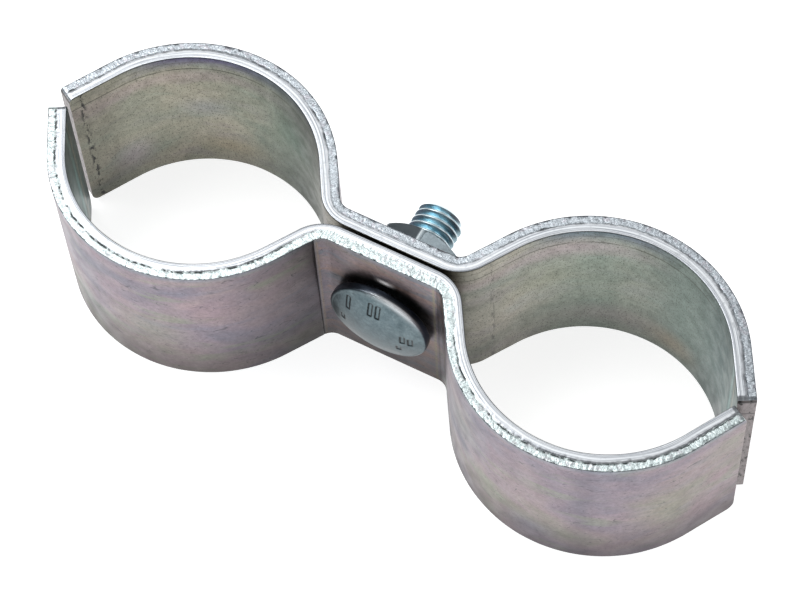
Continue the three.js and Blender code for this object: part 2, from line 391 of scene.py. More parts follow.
def inner_wall():
    """Olive grey zinc with dark specks, a dark band under the edges and a greenish tint by the lips."""
    look = Look("zinc_inner_wall")
    lay = look.layout()
    signed, height = look.part(lay, 0), look.part(lay, 2)
    along = look.math("ABSOLUTE", signed)
    drop = look.math("SUBTRACT", STRIP_WIDTH, height)

    # Mottled ground colours
    mottle = look.noise(look.stretch(lay, (0.06, 0.1, 0.10), (11, 0, 4)), 1.0, 4.0, 0.55, 0.5)
    tone = look.ramp(mottle, [
        (0.30, (0.280, 0.285, 0.225)),
        (0.46, (0.345, 0.325, 0.250)),
        (0.60, (0.425, 0.380, 0.295)),
        (0.72, (0.430, 0.385, 0.325)),
    ])
    streaks = look.noise(look.stretch(lay, (0.07, 0.1, 0.22), (2, 0, 5), -0.4), 1.0, 3.0, 0.6, 0.6)
    tone = look.mix(look.span(streaks, 0.52, 0.70, 0, 0.4), tone, (0.300, 0.345, 0.275))
    tone = look.mix(look.span(streaks, 0.46, 0.30, 0, 0.3), tone, (0.330, 0.280, 0.285))

    # Dark violet band under the edge in the loops, with a rose band below it
    wobble = look.times(look.math("SUBTRACT", streaks, 0.5), 2.4)
    wavy_drop = look.math("ADD", drop, wobble)
    in_loop = look.times(look.span(along, 20.0, 30.0), look.span(along, 68.0, 54.0))
    violet = look.times(look.span(wavy_drop, 0.4, 3.4, 1.0, 0), in_loop)
    tone = look.mix(violet, tone, (0.140, 0.125, 0.205))
    tone = look.tint(tone, look.hump(wavy_drop, 5.0, 2.5), 0.4, (0.43, 0.32, 0.32))

    # Green tints, deepest by the lip at negative run
    tone = look.tint(tone, look.hump(along, 33.0, 17.0), 0.55, (0.190, 0.275, 0.215))
    tone = look.mix(look.span(signed, -36.0, -50.0), tone, (0.215, 0.265, 0.215))
    teal = look.times(look.span(signed, -50.0, -62.0), look.span(streaks, 0.25, 0.6, 0.75, 1.0))
    tone = look.mix(teal, tone, (0.105, 0.165, 0.145))
    tone = look.stripes(tone, signed, (
        (-69.3, 1.1, 0.6, (0.27, 0.46, 0.40)),
        (-71.2, 0.6, 0.6, (0.46, 0.40, 0.27)),
    ))

    # Rainbow tints: rose high on the loops' near side, gold and rose low on their far side
    tone = look.patches(tone, signed, height, (
        (-30.0, 16.0, 26.0, 4.5, 0.50, (0.47, 0.34, 0.34)),
        (-24.0, 12.0, 17.0, 6.0, 0.35, (0.40, 0.40, 0.27)),
        (-48.0, 8.0, 4.0, 5.0, 0.55, (0.46, 0.34, 0.21)),
        (-36.0, 14.0, 5.0, 5.0, 0.40, (0.42, 0.33, 0.31)),
        (-64.0, 5.0, 3.0, 6.0, 0.40, (0.40, 0.34, 0.34)),
        (34.0, 8.0, 17.0, 9.0, 0.60, (0.17, 0.29, 0.20)),
        (48.0, 9.0, 5.0, 4.0, 0.45, (0.48, 0.38, 0.24)),
        (66.0, 6.0, 7.0, 6.0, 0.50, (0.43, 0.34, 0.38)),
        (52.0, 7.0, 16.0, 4.0, 0.35, (0.30, 0.31, 0.36)),
    ))

    # Painted light and shade: the loop at negative run is brighter high up, both loops are darker towards
    # the web, and the other one is darkest past its flank and by its lip
    high = look.times(look.span(height, 17.0, 26.0), look.span(signed, -46.0, -38.0, 0.0, 0.27))
    negative = look.times(look.span(signed, -8.0, -20.0, 0.60, 0.92), look.math("ADD", high, 1.0))
    by_lip = look.span(signed, 64.0, 71.0, 1.0, 0.66)
    positive = look.times(look.span(signed, 16.0, 40.0, 0.55, 1.0), by_lip)
    past_flank = look.math("MULTIPLY_ADD", look.hump(signed, 31.0, 14.0), -0.42, 1.0)
    side = look.span(signed, -1.0, 1.0)
    bright = look.between(negative, look.times(positive, past_flank), side)
    tone = look.mix(1.0, tone, look.mix(side, (0.99, 1.03, 1.12), (0.95, 0.99, 1.03)), "MULTIPLY")
    tone = look.dim(tone, look.times(bright, 0.75), ((0.0, 0.0), (1.0, 1.333)))

    # Broken lines under the edge, specks, and rows of smudges near one lip and one bend
    gate = look.span(look.noise(lay, 0.25, 2.0), 0.28, 0.48)
    for depth, strength in ((1.35, 0.45), (3.1, 0.85)):
        line = look.times(look.hump(drop, depth, 0.2), gate)
        tone = look.tint(tone, line, strength, (0.05, 0.05, 0.04))
    specks = look.span(look.noise(look.stretch(lay, (1.0, 1.0, 0.7)), 3.6, 2.0, 0.75), 0.57, 0.63)
    tone = look.tint(tone, specks, 0.75, (0.05, 0.05, 0.04))
    wandering = look.math("ADD", signed, look.times(mottle, 0.8))
    faint_row = look.times(look.hump(wandering, -14.6, 0.6), 0.5)
    rows = look.math("MAXIMUM", look.hump(wandering, 73.2, 0.9), faint_row)
    smudges = look.noise(look.stretch(lay, (1.4, 1.0, 0.55), (0, 0, 3)), 1.0, 3.0, 0.6)
    tone = look.mix(look.times(rows, look.span(smudges, 0.48, 0.58)), tone, (0.03, 0.03, 0.03))
    tone = look.dim(tone, look.noise(lay, 1.1, 4.0, 0.65), ((0.3, 0.80), (0.7, 1.15)))
    # Painted shade, darker towards the foot
    tone = look.dim(tone, look.span(height, -1.0, 15.0, 0.50, 1.0))
    look.set(Base_Color=tone, Metallic=1.0)
    look.set(Roughness=look.span(look.noise(lay, 0.4, 3.0), 0.3, 0.7, 0.30, 0.44))
    look.bump(look.noise(look.stretch(lay, (0.8, 0.8, 1.6)), 1.0, 3.0, 0.6), 0.012)
    return look.material


def burnished_edge():
    """Bright smooth part of the sheared edge, with fine lines along the strip."""
    look = Look("zinc_burnished_edge")
    lay = look.layout()
    across = look.part(lay, 1)
    drawn = look.noise(look.stretch(lay, (0.06, 5.5, 0.2)), 1.0, 2.0)
    tone = look.ramp(drawn, [
        (0.36, (0.30, 0.32, 0.35)),
        (0.47, (0.48, 0.50, 0.53)),
        (0.60, (0.60, 0.62, 0.64)),
    ])
    sway = look.times(look.math("SUBTRACT", look.noise(lay, 0.12, 1.0), 0.5), 0.5)
    dark = (0.13, 0.14, 0.16)
    tone = look.stripes(tone, look.math("ADD", across, sway), (
        (0.34, 0.06, 0.8, dark), (0.56, 0.06, 0.7, dark), (0.74, 0.05, 0.4, dark), (1.12, 0.06, 0.4, dark),
        (0.86, 0.22, 0.7, (0.74, 0.77, 0.79)),
    ))
    blotches = look.span(look.noise(lay, 0.9, 3.0, 0.6), 0.56, 0.72, 0, 0.5)
    tone = look.mix(blotches, tone, (0.30, 0.32, 0.34))
    tone = look.mix(look.span(across, 0.16, 0.05, 0, 0.35), tone, (0.20, 0.21, 0.23))
    tone = look.tint(tone, look.torn(), 0.9, (0.04, 0.045, 0.05))
    look.set(Base_Color=tone, Metallic=1.0, Roughness=0.28)
    look.bump(drawn, 0.010)
    return look.material


def broken_edge(name, pit, dull, bright, glint):
    """Sparkling grainy part of the sheared edge, darker in its pits."""
    look = Look(name)
    lay = look.layout()
    grain = look.noise(look.stretch(lay, (1.5, 0.8, 1.0)), 4.2, 3.0, 0.7)
    tone = look.ramp(grain, [(0.34, pit), (0.46, dull), (0.58, bright), (0.70, glint)])
    tint = look.noise(lay, 1.1, 2.0, 0.5)
    tone = look.mix(look.span(tint, 0.54, 0.68, 0, 0.4), tone, (0.42, 0.37, 0.41))
    across = look.part(lay, 1)
    rim = look.span(across, STRIP_THICKNESS - 0.16, STRIP_THICKNESS, 0, 0.9)
    tone = look.mix(rim, tone, (0.04, 0.04, 0.045))
    tone = look.mix(look.torn(), tone, (0.025, 0.027, 0.03))
    look.set(Base_Color=tone, Metallic=1.0, Roughness=0.28)
    look.bump(grain, 0.035)
    return look.material


def cut_end():
    """Sheared end faces of the strip and the walls of its hole."""
    look = Look("zinc_cut_end")
    lay = look.layout()
    grain = look.noise(look.stretch(lay, (1.0, 1.0, 0.5)), 1.8, 3.0, 0.6)
    tone = look.ramp(grain, [
        (0.35, (0.04, 0.04, 0.04)),
        (0.40, (0.20, 0.180, 0.178)),
        (0.68, (0.29, 0.260, 0.262)),
    ])
    drop = look.math("SUBTRACT", STRIP_WIDTH, look.part(lay, 2))
    # A painted shadow just under the top edge, and a dark line further down
    tone = look.stripes(tone, drop, (
        (0.7, 0.5, 0.85, (0.03, 0.03, 0.03)),
        (4.4, 0.25, 0.8, (0.04, 0.04, 0.04)),
    ))
    look.set(Base_Color=tone, Metallic=1.0, Roughness=0.42)
    look.bump(grain, 0.015)
    return look.material


def bolt_zinc(name, dark, middle, light, roughness, head=False, highlight_colour=None):
    """Cool satin zinc of the bolt and nut with faint mottling.

    A colour given for highlights is painted on the crests and corners marked in the layout's first value,
    as painted highlights, and its second value marks a side painted in shade.
    On a head its values mark the rim painted dark as shade, the bars' painted shadow outlines and a painted
    highlight on the rim.
    """
    look = Look(name)
    place = look.stretch(look.place(), (1000, 1000, 1000))
    mottle = look.noise(place, 0.45, 4.0, 0.6, 0.3)
    tone = look.ramp(mottle, [(0.3, dark), (0.5, middle), (0.72, light)])
    tone = look.dim(tone, look.noise(place, 2.2, 3.0, 0.65), ((0.3, 0.8), (0.7, 1.15)))
    scratches = wavy_lines(look, place, 0.8, 0.012, 1.7, 0.52, 0.62)
    tone = look.tint(tone, scratches, 0.45, (0.06, 0.07, 0.08))
    metal = 1.0
    if highlight_colour or head:
        lay = look.layout()
        first, second, third = [look.part(lay, axis) for axis in range(3)]
    if highlight_colour:
        tone = look.mix(second, tone, tuple(0.45 * v for v in middle))
        tone = look.mix(first, tone, highlight_colour)
    if head:
        # Painted light and shade: the head lighter towards its top and darker towards negative X
        bright = look.span(look.part(place, 2), BOLT_HEIGHT - 8, BOLT_HEIGHT + 3, 0.56, 0.80)
        bright = look.times(bright, look.span(look.part(place, 0), -8.0, 0.0, 0.68, 1.0))
        tone = look.dim(tone, bright)
        # Painted shade on the rim, painted shadows round the bars, and a painted highlight on the rim that
        # is less metallic so it shows brighter
        tone = look.mix(first, tone, (0.060, 0.078, 0.105))
        tone = look.mix(second, tone, (0.01, 0.011, 0.012))
        tone = look.mix(third, tone, (0.95, 0.98, 1.0))
        metal = look.math("MULTIPLY_ADD", third, -0.8, 1.0)
    look.set(Base_Color=tone, Metallic=metal)
    look.set(Roughness=look.span(mottle, 0.3, 0.7, roughness - 0.05, roughness + 0.07))
    look.bump(look.noise(place, 2.4, 3.0, 0.6), 0.010)
    return look.material


# ---------------- pressed strip


def row_levels(rounding):
    """Heights of the wall rows, for walls whose edges are rounded by this radius."""
    # Rows lie close together near the edges, and the last but one level is half-way into the hole
    hole = (STRIP_WIDTH - NECK_HOLE_WIDTH) / 2
    half = [rounding * (1 - math.sin(math.pi / 4)), rounding * (1 - math.sin(math.pi / 8)), rounding]
    half += [0.34, 0.48, 0.64, 0.85, 1.15, CORNER_RADIUS]
    half += np.linspace(CORNER_RADIUS, hole, 7)[1:].tolist()
    half += [(hole + STRIP_WIDTH / 2) / 2, STRIP_WIDTH / 2]
    half = np.array(half)
    down = np.concatenate([half, STRIP_WIDTH - half[-2::-1]])
    return STRIP_WIDTH - down[::-1]


def sections():
    """The strip's sections from the middle of the web to a lip's end, as (stretch, share) pairs.

    Stretches are 0 web by the hole, 1 rest of the web, 2 bend, 3 flank, 4 seat and 5 lip.
    """
    # The stretches' lengths only set how many sections each one gets
    seat_length = (SEAT_RADIUS + STRIP_THICKNESS / 2) * (FLANK_ANGLE + LIP_ANGLE)
    lengths = [NECK_HOLE_WIDTH / 2, 6.2, 4.8, 3.0, seat_length, LIP_LENGTH]
    made = [(0, 0.0)]
    for stretch, length in enumerate(lengths):
        count = max(2, round(length / STEP))
        made += [(stretch, (i + 1) / count) for i in range(count)]
    return made


def plan_points(stretches, shares, offset, lip_length):
    """X and Y of the right half at each section, for an offset from the tube side."""
    bend = WEB_BEND_TUBE_SIDE + (WEB_BEND_OUTER_SIDE - WEB_BEND_TUBE_SIDE) * offset / STRIP_THICKNESS
    web = -HALF_GAP - offset
    radius = SEAT_RADIUS + offset
    centre_x, centre_y = TUBE_SPACING / 2, SEAT_CENTRE_DEPTH
    seat_start, seat_end = -math.pi / 2 - FLANK_ANGLE, -math.pi / 2 + LIP_ANGLE
    start_x = centre_x + radius * math.cos(seat_start)
    start_y = centre_y + radius * math.sin(seat_start)
    crossing = start_x - (web - start_y) / math.tan(FLANK_ANGLE)
    bend_x, bend_y = crossing - bend * math.tan(FLANK_ANGLE / 2), web - bend
    hole = NECK_HOLE_WIDTH / 2

    bend_turn = math.pi / 2 - FLANK_ANGLE * shares
    flank_x = bend_x + bend * math.sin(FLANK_ANGLE)
    flank_y = bend_y + bend * math.cos(FLANK_ANGLE)
    seat_turn = seat_start + (seat_end - seat_start) * shares
    tip_x = centre_x + radius * math.cos(seat_end) + shares * lip_length * math.cos(LIP_ANGLE)
    tip_y = centre_y + radius * math.sin(seat_end) + shares * lip_length * math.sin(LIP_ANGLE)
    x = np.choose(stretches, [
        hole * shares,
        hole + (bend_x - hole) * shares,
        bend_x + bend * np.cos(bend_turn),
        flank_x + (start_x - flank_x) * shares,
        centre_x + radius * np.cos(seat_turn),
        tip_x,
    ])
    y = np.choose(stretches, [
        web + 0 * shares,
        web + 0 * shares,
        bend_y + bend * np.sin(bend_turn),
        flank_y + (start_y - flank_y) * shares,
        centre_y + radius * np.sin(seat_turn),
        tip_y,
    ])
    return x, y


def column_profile(boundary):
    """Each column's offset from the tube side at every section, and its drop below the edge.

    The columns go round the tube side's corner, over the burnished part up to the boundary, over the broken
    part and round the outer corner.
    """
    offset = np.zeros((len(boundary), COLUMNS + 1))
    drop = np.zeros(COLUMNS + 1)
    for column, turn in ((0, math.pi / 4), (1, math.pi * 3 / 8)):
        offset[:, column] = ROLL_OVER * (1 - math.cos(turn))
        drop[column] = ROLL_OVER * (1 - math.sin(turn))
        offset[:, COLUMNS - column] = STRIP_THICKNESS - BROKEN_CORNER * (1 - math.cos(turn))
        drop[COLUMNS - column] = BROKEN_CORNER * (1 - math.sin(turn))
    for i in range(BURNISHED_COLUMNS + 1):
        offset[:, 2 + i] = ROLL_OVER + (boundary - ROLL_OVER) * i / BURNISHED_COLUMNS
    last = STRIP_THICKNESS - BROKEN_CORNER
    for i in range(1, BROKEN_COLUMNS + 1):
        offset[:, 2 + BURNISHED_COLUMNS + i] = boundary + (last - boundary) * i / BROKEN_COLUMNS
    return offset, drop


def edge_relief(lay, boundary, seed, tearing, roughness):
    """Depth of the sheared edges' relief, and where they are torn and nicked, at the points of a layout.

    Boundary is where the burnished part ends at each point. A jagged groove is torn just past it.
    """
    offset = lay[:, 1]
    local = lay + np.array([0, 0, seed])
    into = offset - boundary
    grain = noise_of(local * [1.5, 0.8, 1], 1.9, 2, 3.0)
    lumps = noise_of(local, 0.7, 1, 9.0)
    pit = smooth(-0.05, 0.12, into) * (0.05 + roughness * grain + 0.02 * lumps)
    start = 0.10 + 0.10 * noise_of(local * [1, 0, 1], 1.7, 2, 23.0)
    torn = np.exp(-((into - start) / 0.08) ** 2) * (0.3 + 0.7 * smooth(9, 18, np.abs(lay[:, 0])))
    torn *= smooth(-0.3 - tearing, 0.5 - tearing, noise_of(local * [1, 0, 1], 0.5, 2, 31.0))
    nick = smooth(2.35, STRIP_THICKNESS, offset) * np.clip(noise_of(local, 1.2, 2, 17.0), 0, 1)
    return pit + TORN_DEPTH * torn + NICK_DEPTH * nick, torn, nick


def strip_faces(index, in_hole, hole_rows):
    """Quads and material slots of a strip, from its points' numbers by section, column and row."""
    rows = index.shape[2] - 1
    faces, slots = [], []

    def add(grid, flip, slot):
        a, b, c, d = grid[:-1, :-1], grid[1:, :-1], grid[1:, 1:], grid[:-1, 1:]
        quads = np.stack([a, d, c, b] if flip else [a, b, c, d], -1).reshape(-1, 4)
        kept = (quads >= 0).all(1)
        faces.append(quads[kept])
        slots.append(np.broadcast_to(slot, a.shape).reshape(-1)[kept])

    edge_slot = np.where(np.arange(COLUMNS) < 2 + BURNISHED_COLUMNS, BURNISHED, BROKEN)[None, :]
    add(index[:, :, rows], True, edge_slot)
    add(index[:, :, 0], False, edge_slot)
    add(index[:, 0, :], True, INNER_WALL)
    add(index[:, COLUMNS, :], False, OUTER_WALL)
    # The sheared edge's parts run on round the lips' corners
    corner_row = np.minimum(np.arange(rows), rows - 1 - np.arange(rows)) < CORNER_ROWS
    end_slot = np.where(corner_row[None, :], edge_slot.T, CUT)
    add(index[0], False, end_slot)
    add(index[-1], True, end_slot)
    # Walls of the neck's hole
    k0, k1 = np.nonzero(in_hole)[0][[0, -1]] + np.array([-1, 1])
    r0, r1 = np.nonzero(hole_rows)[0][[0, -1]] + np.array([-1, 1])
    across = [0, COLUMNS]
    add(index[k0:k1 + 1, across, r0], True, CUT)
    add(index[k0:k1 + 1, across, r1], False, CUT)
    add(index[k0, across, r0:r1 + 1], True, CUT)
    add(index[k1, across, r0:r1 + 1], False, CUT)
    return np.concatenate(faces).tolist(), np.concatenate(slots)


def strip(name, materials, turned, seed, tearing, roughness, burnish):
    """One pressed strip as a bent box of sections, columns across its thickness and rows along its width.

    Burnish holds the burnished part's width in the web and in the loops.
    """
    half = sections()
    stations = [(stretch, -share, -1) for stretch, share in half[:0:-1]]
    stations += [(stretch, share, 1) for stretch, share in half]
    stretches = np.array([s[0] for s in stations])
    shares = np.abs(np.array([s[1] for s in stations]))
    side = np.array([s[2] for s in stations])
    middle_x, middle_y = plan_points(stretches, shares, STRIP_THICKNESS / 2, LIP_LENGTH)
    middle = np.stack([side * middle_x, middle_y], 1)
    run = np.concatenate([[0], np.cumsum(np.linalg.norm(np.diff(middle, axis=0), axis=1))])
    run -= run[-1] / 2

    # Number the points of the box's surface, without the wall points in the hole
    inner_z, outer_z = row_levels(ROLL_OVER), row_levels(BROKEN_CORNER)
    rows = len(inner_z) - 1
    count = len(stations)
    left_out = np.zeros((count, COLUMNS + 1, rows + 1), bool)
    left_out[1:-1, 1:-1, 1:-1] = True
    in_hole = (stretches == 0) & (shares < 1)
    hole_rows = np.abs(inner_z - STRIP_WIDTH / 2) < NECK_HOLE_WIDTH / 2 - 0.01
    left_out[np.ix_(in_hole, [0, COLUMNS], hole_rows)] = True
    index = np.full(left_out.shape, -1)
    index[~left_out] = np.arange((~left_out).sum())
    k, c, r = np.nonzero(~left_out)
    on_top, on_bottom = r == rows, r == 0
    on_inner, on_outer = c == 0, c == COLUMNS

    # Where the burnished part ends along the strip, and every point's offset and height
    line = np.stack([run, np.full(count, seed), np.zeros(count)], 1)
    wander = 0.16 * noise_of(line, 0.35, 1) + 0.15 * noise_of(line, 1.3, 2, 5.0)
    boundary = burnish[0] + (burnish[1] - burnish[0]) * smooth(8, 24, np.abs(run)) + wander
    column_offset, column_drop = column_profile(boundary)
    offset = column_offset[k, c].copy()
    share_across = offset / STRIP_THICKNESS
    z = inner_z[r] * (1 - share_across) + outer_z[r] * share_across
    z[on_top] = STRIP_WIDTH - column_drop[c[on_top]]
    z[on_bottom] = column_drop[c[on_bottom]]
    near_edge = np.clip(np.minimum(np.arange(rows + 1), rows - np.arange(rows + 1)), 0, 2)
    bulge = np.array([1 - math.cos(math.pi / 4), 1 - math.cos(math.pi / 8), 0.0])[near_edge]
    offset[on_inner] = ROLL_OVER * bulge[r[on_inner]]
    offset[on_outer] = STRIP_THICKNESS - BROKEN_CORNER * bulge[r[on_outer]]

    # Rounded corners of the lips shorten the strip near its edges
    radius = np.where(z > STRIP_WIDTH / 2, UPPER_CORNER_RADIUS, CORNER_RADIUS)
    from_edge = np.clip(np.minimum(z, STRIP_WIDTH - z), 0, radius)
    lip_length = LIP_LENGTH - radius + np.sqrt(radius**2 - (radius - from_edge) ** 2)
    x, y = plan_points(stretches[k], shares[k], offset, lip_length)
    x = x * side[k]

    # Outward direction in plan, from a slightly larger offset
    further_x, further_y = plan_points(stretches[k], shares[k], offset + 0.05, lip_length)
    out = np.stack([further_x * side[k] - x, further_y - y], 1)
    out /= np.linalg.norm(out, axis=1)[:, None]

    # Layout for the materials: run along the strip, offset from the tube side, and height
    lay = np.stack([run[k], offset, z], 1)

    # Relief of the sheared edges, walls that are not quite flat, and the crease
    edge = np.nonzero(on_top | on_bottom)[0]
    pit, torn, nick = edge_relief(lay[edge], boundary[k[edge]], seed, tearing, roughness)
    z[edge] += np.where(on_top[edge], -1, 1) * np.maximum(pit, 0)
    nudge = np.zeros(len(z))
    nudge[edge] = -NICK_SETBACK * nick * smooth(2.6, STRIP_THICKNESS, offset[edge])
    walls = np.nonzero((on_inner | on_outer) & ~on_top & ~on_bottom)[0]
    nudge[walls] += WALL_WAVINESS * noise_of(lay[walls] + np.array([0, 0, seed]), 0.16, 2, 2.0)
    creased = np.nonzero(on_outer & ~on_top & ~on_bottom)[0]
    nudge[creased] -= CREASE_DEPTH * np.exp(-((lay[creased, 0] - CREASE_RUN) / 0.13) ** 2)
    x += out[:, 0] * nudge
    y += out[:, 1] * nudge

    # Shorn end faces
    ends = np.nonzero((k == 0) | (k == count - 1))[0]
    stretched = lay[ends] * [1, 1, 0.35] + np.array([0, seed, 0])
    rough = END_ROUGHNESS * np.abs(noise_of(stretched, 1.6, 2, 4.0))
    x[ends] -= side[k[ends]] * rough * math.cos(LIP_ANGLE)
    y[ends] -= rough * math.sin(LIP_ANGLE)

    if turned:
        x, y = -x, -y
    faces, slots = strip_faces(index, in_hole, hole_rows)
    marks = np.zeros(len(z))
    marks[edge] = np.clip(torn, 0, 1)
    return make_mesh(name, np.stack([x, y, z], 1), faces, materials, slots, lay, marks, 55)


# ---------------- bolt and nut


def turned_mesh(rings, segments, closed_first=False, closed_last=False):
    """Points and faces of rings of (radius, y) about the bolt's axis. Either may be an array over the turn.

    Faces look outwards where y grows from ring to ring. A flat face can close the first and last ring.
    """
    turn = np.linspace(0, 2 * math.pi, segments, endpoint=False)
    points = []
    for radius, y in rings:
        radius, y = np.broadcast_to(radius, segments), np.broadcast_to(y, segments)
        points.append(np.stack([radius * np.cos(turn), y, BOLT_HEIGHT - radius * np.sin(turn)], 1))
    faces = []
    for i in range(len(rings) - 1):
        for j in range(segments):
            after = (j + 1) % segments
            faces.append([i * segments + j, i * segments + after,
                          (i + 1) * segments + after, (i + 1) * segments + j])
    if closed_first:
        faces.append(list(range(segments))[::-1])
    if closed_last:
        faces.append([(len(rings) - 1) * segments + j for j in range(segments)])
    return np.concatenate(points), faces


def thread(start, end, segments, bore=False):
    """A right-hand thread surface between two heights, as points and quads that follow the helix.

    A bolt's thread tapers in at both ends, and a bore's flares out to its full width.
    """
    widen = THREAD_CLEARANCE if bore else 0.0
    # Shares of the pitch and of the thread's depth
    profile = [(0.0, 0.0), (0.06, 0.0), (0.13, 0.09), (0.40, 1.0), (0.52, 1.0), (0.84, 0.07), (0.92, 0.0)]
    per_pitch = len(profile)
    turns = int((end - start) / THREAD_PITCH) + 3
    rows = turns * per_pitch
    first = math.floor(start / THREAD_PITCH) - 1
    turn = np.linspace(0, 2 * math.pi, segments, endpoint=False)
    points, beyond = [], []
    for n in range(rows + 1):
        share, depth = profile[n % per_pitch]
        y = THREAD_PITCH * (first + n // per_pitch + share + turn / (2 * math.pi))
        radius = THREAD_RADIUS - THREAD_DEPTH * depth + widen + 0 * y
        clamped = np.clip(y, start, end)
        from_end = np.minimum(clamped - start, end - clamped)
        if bore:
            radius = np.maximum(radius, THREAD_RADIUS + widen - from_end)
        else:
            radius = np.minimum(radius, THREAD_RADIUS - END_CHAMFER + from_end)
        points.append(np.stack([radius * np.cos(turn), clamped, BOLT_HEIGHT - radius * np.sin(turn)], 1))
        beyond.append(np.where(y < start, -1, np.where(y > end, 1, 0)))
    faces = []
    for n in range(rows):
        for j in range(segments):
            # The last column joins the first one a pitch further on
            after = (j + 1) % segments
            lift = per_pitch if after == 0 else 0
            if n + 1 + lift > rows:
                continue
            quad = [(n, j), (n + lift, after), (n + 1 + lift, after), (n + 1, j)]
            if abs(sum(beyond[row][column] for row, column in quad)) < 4:
                faces.append([row * segments + column for row, column in quad])
    return np.concatenate(points), faces


def joined(*parts):
    """Several parts' points and faces as one, with points that coincide made one."""
    points, faces, start = [], [], 0
    for part_points, part_faces in parts:
        points.append(part_points)
        faces += [[v + start for v in face] for face in part_faces]
        start += len(part_points)
    points, same = np.unique(np.round(np.concatenate(points), 6), axis=0, return_inverse=True)
    same = same.ravel().tolist()
    welded = []
    for face in faces:
        face = [same[v] for v in face]
        corners = [v for v, after in zip(face, face[1:] + face[:1]) if v != after]
        if len(corners) > 2:
            welded.append(corners)
    return points, welded


def head_marks(x, z):
    """Height of the raised bars on the head. X and Z are from the head's middle."""
    raised = np.zeros_like(x)
    # Each bar's middle X, middle Z and length
    bars = ((-4.6, 4.2, 2.8), (-0.6, 5.4, 2.6), (0.7, 5.4, 2.6), (-5.7, -0.6, 1.5),
            (4.9, 0.4, 1.9), (6.1, 0.0, 1.9), (4.2, -2.6, 1.3))
    for middle_x, middle_z, length in bars:
        along, beside = np.abs(z - middle_z), np.abs(x - middle_x)
        bar = smooth(length / 2 + 0.2, length / 2 - 0.2, along) * smooth(0.55, 0.12, beside)
        raised = np.maximum(raised, bar)
    return raised


def bolt_head(material):
    """Cup head: a low dome with raised bars, a rounded rim and a flat underside."""
    crown = HEAD_HEIGHT - HEAD_RIM
    dome_radius = (HEAD_RADIUS**2 + crown**2) / (2 * crown)
    top = HEAD_UNDERSIDE - HEAD_HEIGHT
    turn = np.linspace(0, 2 * math.pi, HEAD_SEGMENTS, endpoint=False)
    rings, marks = [], []
    for radius in np.concatenate([[0.02], np.linspace(0.2, HEAD_RADIUS - HEAD_EDGE, 74)]):
        drop = dome_radius - math.sqrt(dome_radius**2 - radius**2)
        marked = head_marks(radius * np.cos(turn), -radius * np.sin(turn))
        rings.append((radius, top + drop + MARK_HEIGHT * marked))
        marks.append(marked)
    shoulder = top + drop
    rim = shoulder + HEAD_EDGE * 0.9
    for i in range(1, 8):
        angle = math.pi / 2 * i / 7
        rings.append((HEAD_RADIUS - HEAD_EDGE + HEAD_EDGE * math.sin(angle),
                      rim - HEAD_EDGE * 0.9 * math.cos(angle)))
    wave = 0.03 * noise_of(np.stack([3 * np.cos(turn), 3 * np.sin(turn), 0 * turn], 1), 1.0, 2)
    for share in (0.3, 0.7):
        rings.append((HEAD_RADIUS + wave, rim + (HEAD_UNDERSIDE - HEAD_LOWER_EDGE - rim) * share))
    for i in range(5):
        angle = math.pi / 2 * i / 4
        rings.append((HEAD_RADIUS - HEAD_LOWER_EDGE * (1 - math.cos(angle)),
                      HEAD_UNDERSIDE - HEAD_LOWER_EDGE * (1 - math.sin(angle))))
    rings.append((NECK_WIDTH / 2 + 0.6, HEAD_UNDERSIDE))
    rings.append((NECK_WIDTH / 2 - 0.6, HEAD_UNDERSIDE + 0.01))
    points, faces = turned_mesh(rings, HEAD_SEGMENTS, True, True)

    # Layout: the rim painted dark as shade, painted shadow outlines round the bars and a painted highlight
    # on the rim's upper part
    marked = np.concatenate(marks + [0 * turn] * (len(rings) - len(marks)))
    x, y, rise = points[:, 0], points[:, 1], points[:, 2] - BOLT_HEIGHT
    around = np.arctan2(x, rise)
    painted_rim_shade = smooth(shoulder, rim, y) * (1 - 0.5 * smooth(-0.4, -1.2, around))
    painted_rim_highlight = 1.6 * np.exp(-((y - rim + 0.16) / 0.26) ** 2 - ((around - 0.48) / 0.42) ** 2) * (rise > 0)
    layout = np.stack([painted_rim_shade, np.clip(5.5 * marked * (1 - marked), 0, 0.97), np.minimum(painted_rim_highlight, 1)], 1)
    return make_mesh("bolt_head", points, faces, [material], layout=layout, sharp=50)


def bolt_neck(material):
    """Square neck with rounded corners."""
    corner_steps = 5
    outline = []
    for quarter, (side_x, side_z) in enumerate(((1, 1), (-1, 1), (-1, -1), (1, -1))):
        for i in range(corner_steps):
            angle = math.pi / 2 * (quarter + i / (corner_steps - 1))
            outline.append((side_x * (NECK_WIDTH / 2 - NECK_CORNER) + NECK_CORNER * math.cos(angle),
                            side_z * (NECK_WIDTH / 2 - NECK_CORNER) + NECK_CORNER * math.sin(angle)))
    outline = np.array(outline)
    size = len(outline)
    levels = [(1.0, HEAD_UNDERSIDE - 0.1), (1.0, NECK_END - 0.3), (0.96, NECK_END)]
    points = [np.stack([outline[:, 0] * scale, np.full(size, y), BOLT_HEIGHT + outline[:, 1] * scale], 1)
              for scale, y in levels]
    faces = [list(range(size)), list(range(2 * size, 3 * size))[::-1]]
    for i in range(len(levels) - 1):
        for j in range(size):
            after = (j + 1) % size
            faces.append([i * size + j, (i + 1) * size + j, (i + 1) * size + after, i * size + after])
    return make_mesh("bolt_neck", np.concatenate(points), faces, [material], sharp=35)


